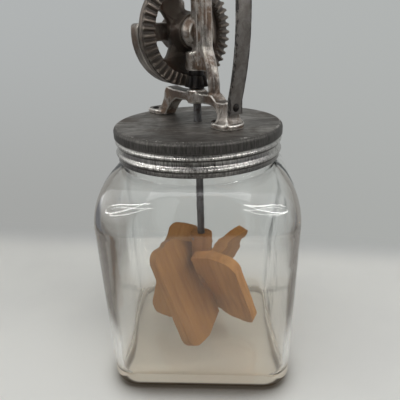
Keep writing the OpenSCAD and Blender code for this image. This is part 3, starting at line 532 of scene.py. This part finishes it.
def shoulder_ring(a, inset, thick=0.0):
    """A ring of the shoulder; inside, thick fills the corners."""
    flat = (SHOULDER_HALF - SHOULDER_CORNER - thick) * math.cos(a)
    half = NECK_R + (SHOULDER_HALF - NECK_R) * math.cos(a) - inset
    z = SHOULDER_Z + (NECK_Z - SHOULDER_Z) * math.sin(a) - inset * math.sin(a)
    return square_ring(half, half - flat, z)


def uneven(ring):
    """The inside of the pressed glass, with the slow waves that the plunger left."""
    x, y, z = (ring / MM).T
    wave = (np.sin(x / 9.0 + 0.05 * z) * np.sin(z / 31.0 + 0.6) + 0.8 * np.sin(y / 11.0 - z / 23.0 + 1.3)
            + 0.6 * np.sin((x + y) / 7.0 + 2.0))
    shrink = 1 - 0.0022 * (1 + 0.5 * wave)
    return ring * np.stack([shrink, shrink, np.ones(len(ring))], 1)


def neck_ring(z):
    """A ring of the neck with its glass thread."""
    turns = TURNS / (2 * math.pi)
    bump = np.zeros(RING_POINTS)
    for lap in (0, 1):
        at = turns + lap
        off = (z - NECK_Z - 7.5 - THREAD_PITCH * at) / THREAD_W
        fade = np.clip(np.minimum(8 * at, 8 * (THREAD_TURNS - at)), 0, 1)
        bump = np.maximum(bump, np.clip(1 - off ** 2, 0, None) * fade)
    r = (NECK_R + THREAD_H * bump) * MM
    return np.stack([r * np.cos(TURNS), r * np.sin(TURNS), np.full(RING_POINTS, z * MM)], 1)


def make_jar():
    rings = []
    for a in quarter(FOOT_STEPS):
        z = FOOT_ROUND * (1 - math.cos(a))
        inset = FOOT_ROUND * (1 - math.sin(a))
        rings.append(square_ring(body_half(z) - inset, body_corner(z) - inset, z))
    for z in np.linspace(FOOT_ROUND, SHOULDER_Z, 24)[1:-1]:
        rings.append(square_ring(body_half(z), body_corner(z), z))
    rings += [shoulder_ring(a, 0) for a in quarter(SHOULDER_STEPS)]
    rings += [neck_ring(z) for z in np.linspace(NECK_Z, JAR_H - RIM_ROUND, 44)[1:]]
    for a in quarter(RIM_STEPS)[1:]:
        r = NECK_R - RIM_ROUND * (1 - math.cos(a))
        rings.append(square_ring(r, r, JAR_H - RIM_ROUND * (1 - math.sin(a))))
    for a in quarter(RIM_STEPS):
        r = NECK_R - WALL + RIM_ROUND * (1 - math.sin(a))
        rings.append(square_ring(r, r, JAR_H - RIM_ROUND * (1 - math.cos(a))))
    rings += [shoulder_ring(a, WALL, CORNER_FILL) for a in reversed(quarter(SHOULDER_STEPS))]
    low = FLOOR + FLOOR_ROUND
    for z in np.linspace(SHOULDER_Z, low, 40)[1:-1]:
        rings.append(uneven(square_ring(body_half(z) - WALL, body_corner(z) - WALL + CORNER_FILL, z)))
    for a in reversed(quarter(FLOOR_STEPS)):
        z = FLOOR + FLOOR_ROUND * (1 - math.cos(a))
        inset = WALL + FLOOR_ROUND * (1 - math.sin(a))
        rings.append(uneven(square_ring(body_half(z) - inset, body_corner(z) - inset + CORNER_FILL, z)))
    jar = loft("jar_glass", rings)
    smooth(jar, 60)
    dress(jar, clear_glass(), "jar", "clear_glass", "glass_jar")


# Cap

CAP_POINTS = 240
CAP_STEPS, BEAD_STEPS = 8, 16


def make_cap(material):
    """The sheet cap: flat top, plain band and two rolled beads, down the outside and up the inside."""
    a = np.arange(CAP_POINTS) / CAP_POINTS * 2 * math.pi

    def ring(r, z):
        return np.stack([r * MM * np.cos(a), r * MM * np.sin(a), np.broadcast_to(z * MM, a.shape)], 1)

    def outline(inset):
        points = [(SHAFT_HOLE_R, -inset), (20, -inset), (40, -inset), (55, -inset)]
        for t in reversed(quarter(CAP_STEPS)):
            r = CAP_ROUND - inset
            points.append((BAND_R - CAP_ROUND + r * math.cos(t), -CAP_ROUND + r * math.sin(t)))
        points += [(BAND_R - inset, -CAP_BAND + 2), (BAND_R - inset, -CAP_BAND + 1)]
        for bead in (1, 2):
            mid = -(CAP_BAND + BEAD_W / 2) - THREAD_PITCH * (bead - 1)
            for i in range(BEAD_STEPS + 1):
                u = 2 * i / BEAD_STEPS - 1
                swell = BEAD_H * math.cos(math.pi / 2 * u) ** 2
                points.append((GROOVE_R - inset + swell, mid - BEAD_W / 2 * u))
        points.append((GROOVE_R - inset, -CAP_SKIRT))
        return points

    rings = [ring(r, z) for r, z in outline(0)] + [ring(r, z) for r, z in reversed(outline(CAP_T))]
    cap = loft("cap_sheet", rings, close=False)
    cap.data.transform(HEAD)
    smooth(cap, 50)
    dress(cap, material, "lid", "worn_tin", "screw_cap")


# Castings

CAST_VOXEL, CAST_ROUNDS = 0.0007, 8


def cast(node, name, material, body, slot):
    """A casting with softened edges: the node's form, skinned again and smoothed."""
    piece = copy_of(node, name)
    apply(piece, "REMESH", mode="VOXEL", voxel_size=CAST_VOXEL, use_smooth_shade=True)
    apply(piece, "SMOOTH", factor=0.5, iterations=CAST_ROUNDS)
    smooth(piece, 80)
    dress(piece, material, body, slot, node)


def rounded(node, name, width, material, body, slot, segments=3):
    """A piece with eased edges."""
    piece = copy_of(node, name)
    bpy.ops.object.mode_set(mode="EDIT")
    bpy.ops.mesh.select_all(action="SELECT")
    bpy.ops.mesh.dissolve_limited(angle_limit=math.radians(2))
    bpy.ops.object.mode_set(mode="OBJECT")
    apply(piece, "BEVEL", width=width, segments=segments, limit_method="ANGLE", angle_limit=math.radians(35))
    smooth(piece, 35)
    dress(piece, material, body, slot, node)


# Stage and light

def make_stage():
    """A pale floor that runs up into a wall, with a contact shadow painted on the floor before the jar's
    foot. The wall is seen in a grey that is painted lighter towards the top and the right, and clear from
    its back. Seen through glass, the far sides are painted dark.
    """
    wall_y, bend, near, high, side, low = 0.19, 0.07, 0.42, 1.2, 0.42, -0.0004
    piece = new_piece("studio_sweep", bpy.ops.mesh.primitive_plane_add, size=1)
    bpy.ops.object.mode_set(mode="OBJECT")
    path = [(-near, 0.0), (wall_y - bend, 0.0)]
    for t in np.linspace(0, math.pi / 2, 17)[1:]:
        path.append((wall_y - bend + bend * math.sin(t), bend * (1 - math.cos(t))))
    path.append((wall_y, high))
    verts = [(x, y, z + low) for y, z in path for x in (-side, side)]
    faces = [(2 * i, 2 * i + 1, 2 * i + 3, 2 * i + 2) for i in range(len(path) - 1)]
    piece.data.clear_geometry()
    piece.data.from_pydata(verts, [], faces)
    piece.data.transform(Matrix.Rotation(math.radians(-5.5), 4, "Z"))
    smooth(piece, 60)
    material, start = bare("studio_paper")
    place = start.node("TexCoord", out="Object")
    x, y, z = place.axes()
    cloud = place.noise(9, 3, 0.5)
    wall = (z + 0.0015 * (cloud - 0.5)).step(0.0004, 0.024)
    base = wall.mix(linear(226, 226, 221), linear(200, 202, 203))
    base = (0.3 * cloud.step(0.4, 0.7)).mix(base, linear(214, 214, 211))
    direct, _, _, mirrored, _, _, through = start.node("LightPath").outputs()[:7]
    aside = x.size()
    flat = (FOOT_HALF - FOOT_CORNER) * MM
    past_x = (aside - flat).most(0.0)
    past_y = (y.size() - flat).most(0.0)
    past = (past_x * past_x + past_y * past_y) ** 0.5 - (FOOT_CORNER - FOOT_ROUND) * MM
    # A contact shadow painted on the floor just in front of the jar's foot, from ambient occlusion.
    open_sky = start.node("AmbientOcclusion", {"samples": 12}, {"Distance": 0.03}, out="AO")
    before = y.step(0.0, -0.075, 0.1, 0.95) * aside.step(0.095, 0.06, 0.2, 1.0)
    painted_contact_shadow = open_sky.step(0.92, 0.45) * past.step(-0.001, 0.001) * before
    base = painted_contact_shadow.mix(base, linear(80, 72, 61))
    # Seen through the glass, the paper's far sides are painted dark: painted shade for the dim room beyond.
    far_sides_painted_dark = through * aside.step(0.105, 0.16)
    base = far_sides_painted_dark.mix(base, linear(104, 97, 90))
    paper = start.node("BsdfPrincipled", None, {"Base Color": base, "Roughness": 0.85 + 0.05 * cloud})
    # The wall's grey is painted lighter towards the top and the right, and lighter in the middle where it is
    # seen through glass: painted light.
    grey = z.step(0.0, 0.36).mix(linear(164, 165, 163), linear(177, 180, 180))
    grey = (0.4 * x.step(-0.1, 0.25)).mix(grey, linear(178, 181, 178))
    grey = (through * aside.step(0.2, 0.12)).mix(grey, linear(178, 181, 179))
    grey = far_sides_painted_dark.mix(grey, linear(128, 124, 118))
    seen = start.node("Emission", None, {"Color": grey, "Strength": 1.0})
    look = direct.most(mirrored).most(through)
    mixed = start.node("MixShader", None, {0: look * wall, 1: paper, 2: seen})
    behind = start.node("NewGeometry", out="Backfacing")
    mixed = start.node("MixShader", None, {0: behind, 1: mixed, 2: start.node("BsdfTransparent")})
    start.node("OutputMaterial", None, {"Surface": mixed})
    piece.data.materials.append(material)


def softbox(name, place, aim, size, power, colour=(1, 1, 1)):
    """A soft lamp that lights the bench, and that glass and metal don't mirror."""
    data = bpy.data.lights.new(name, "AREA")
    data.shape = "RECTANGLE"
    data.size, data.size_y = size
    data.energy = power
    data.color = colour
    lamp = bpy.data.objects.new(name, data)
    lamp.location = place
    lamp.rotation_euler = (Vector(aim) - Vector(place)).to_track_quat("-Z", "Y").to_euler()
    lamp.visible_glossy = False
    bpy.context.scene.collection.objects.link(lamp)


def make_light():
    world = bpy.data.worlds.new("studio_air")
    bpy.context.scene.world = world
    world.use_nodes = True
    world.node_tree.nodes.clear()
    start = Val(world.node_tree)
    x, y, z = start.node("TexCoord", out="Generated").axes()
    up = z.step(-0.1, 0.8)
    sky = up.mix((0.16, 0.16, 0.17, 1), (0.95, 0.95, 0.96, 1))
    room = up.mix((0.05, 0.048, 0.046, 1), (0.42, 0.42, 0.42, 1))
    colour = ((0.0 - y).step(0.0, 0.5) * (x * x).step(0.6, 0.15)).mix(sky, room)
    pane = (0.0 - x).step(0.4, 0.85) * z.step(0.0, 0.25) * z.step(0.8, 0.45)
    colour = (0.7 * pane).mix(colour, (1.4, 1.4, 1.38, 1))
    air = start.node("Background", None, {"Color": colour, "Strength": 0.8})
    start.node("OutputWorld", None, {"Surface": air})
    softbox("top_softbox", (0.0, -0.1, 1.3), (0, 0, 0.1), (1.0, 0.8), 5.0)
    softbox("left_softbox", (-1.1, -0.5, 0.9), (0, 0, 0.15), (0.7, 0.7), 0.4)
    softbox("right_softbox", (1.1, -0.5, 0.9), (0, 0, 0.15), (0.7, 0.7), 3.9)


TUBE_Z = 0.17


def make_light_tube(side):
    """A closed light tube that bends from the bench's side round to its front.
    It is seen only where glass and metal mirror it."""
    name = "light_tube_left" if side < 0 else "light_tube_right"
    piece = new_piece(name, bpy.ops.mesh.primitive_torus_add,
                      major_radius=1, minor_radius=0.02, major_segments=120, minor_segments=12)
    mesh = bmesh.from_edit_mesh(piece.data)
    for v in mesh.verts:
        t = math.atan2(v.co.y, v.co.x)
        turn = 47 + 40 * math.cos(t) if side > 0 else 51 + 38 * math.cos(t)
        rise = 24 + 9 * math.sin(math.pi * (turn - 5) / 85) - 5 * (turn / 90) ** 4
        rise += 13 * math.copysign(abs(math.sin(t)) ** 0.7, math.sin(t)) * (0.56 + 0.44 * math.cos(t))
        turn, rise = math.radians(turn), math.radians(rise + math.degrees(v.co.z))
        out = v.co.xy.length
        v.co = (side * out * math.sin(turn) * math.cos(rise), -out * math.cos(turn) * math.cos(rise),
                TUBE_Z + out * math.sin(rise))
    bmesh.update_edit_mesh(piece.data)
    bpy.ops.object.mode_set(mode="OBJECT")
    material, start = bare("tube_glow")
    glow = start.node("Emission", None, {"Color": (1, 0.99, 0.97, 1), "Strength": 16.0})
    clear = start.node("BsdfTransparent")
    mirrored = start.node("LightPath", out="Is Glossy Ray")
    mixed = start.node("MixShader", None, {0: mirrored, 1: clear, 2: glow})
    start.node("OutputMaterial", None, {"Surface": mixed})
    piece.data.materials.append(material)


place_camera()
make_stage()
make_light()
for side in (-1, 1):
    make_light_tube(side)

frame_iron = painted("frame_iron", iron(linear(216, 209, 200), linear(140, 116, 97),
                                        linear(244, 240, 233), 0.36))
crank_iron = painted("crank_iron", iron(linear(138, 130, 122), linear(104, 86, 73),
                                        linear(206, 200, 192), 0.38))
gear_iron = painted("gear_iron", paint_gear)
strap_iron = painted("strap_iron", paint_strap)
dark_iron = painted("dark_iron", paint_dark_iron)
tin = painted("worn_tin", paint_worn_tin)
steel = painted("steel", paint_steel)
bronze = painted("bronze", paint_bronze)
rubber = painted("rubber", paint_rubber)

make_jar()
make_cap(tin)
cast("gear_frame", "frame_casting", frame_iron, "lid", "cast_iron")
cast("crank", "crank_casting", crank_iron, "crank", "cast_iron")
rounded("drive_gear", "gear_wheel", 0.0003, gear_iron, "crank", "cast_iron", 2)
rounded("strap_handle", "handle_strap", 0.0007, strap_iron, "lid", "cast_iron")
rounded("pinion", "pinion_wheel", 0.0002, dark_iron, "dasher", "dark_iron", 2)

PADDLE_TONES = [(linear(190, 136, 72), linear(160, 106, 48)), (linear(168, 119, 62), linear(144, 97, 48)),
                (linear(162, 116, 60), linear(136, 91, 42)), (linear(164, 116, 60), linear(139, 92, 42))]
for i in range(4):
    lean = Euler((math.radians(PADDLE_PITCH), 0, 0)).to_matrix()
    swing = Matrix.Rotation(LID_TURN + math.radians(PADDLE_TURN + 90 * i), 3, "Z")
    turn = (swing @ lean).inverted().to_euler()
    board = painted("paddle_wood_%d" % (i + 1), wood(tuple(turn), PADDLE_TONES[i]))
    rounded("paddle_%d" % (i + 1), "paddle_board_%d" % (i + 1), 0.002, board, "dasher", "paddle_wood")
hub_wood = painted("hub_wood", wood((0, 0, 0), (linear(152, 106, 58), linear(124, 80, 40))))
knob_wood = painted("knob_wood", wood((0, math.pi / 2, 0), (linear(120, 78, 46), linear(84, 50, 28))))
repaint(hub_wood, "dasher_hub", "paddle_dowels")
repaint(knob_wood, "crank_knob")
repaint(dark_iron, "foot_rivets", "handle_rivet", "handle_screw", "hub_pins", "pinion_pin")
repaint(steel, "axle_stud", "axle_washer", "axle_nut", "knob_pin", "knob_washer",
        "dasher_shaft", "dasher_pin", "dasher_washer", "dasher_nut")
repaint(bronze, "upper_bush", "lower_bush", "hub_bush")
repaint(rubber, "cap_gasket")

bpy.context.scene.view_settings.view_transform = "Standard"
bpy.context.view_layer.update()
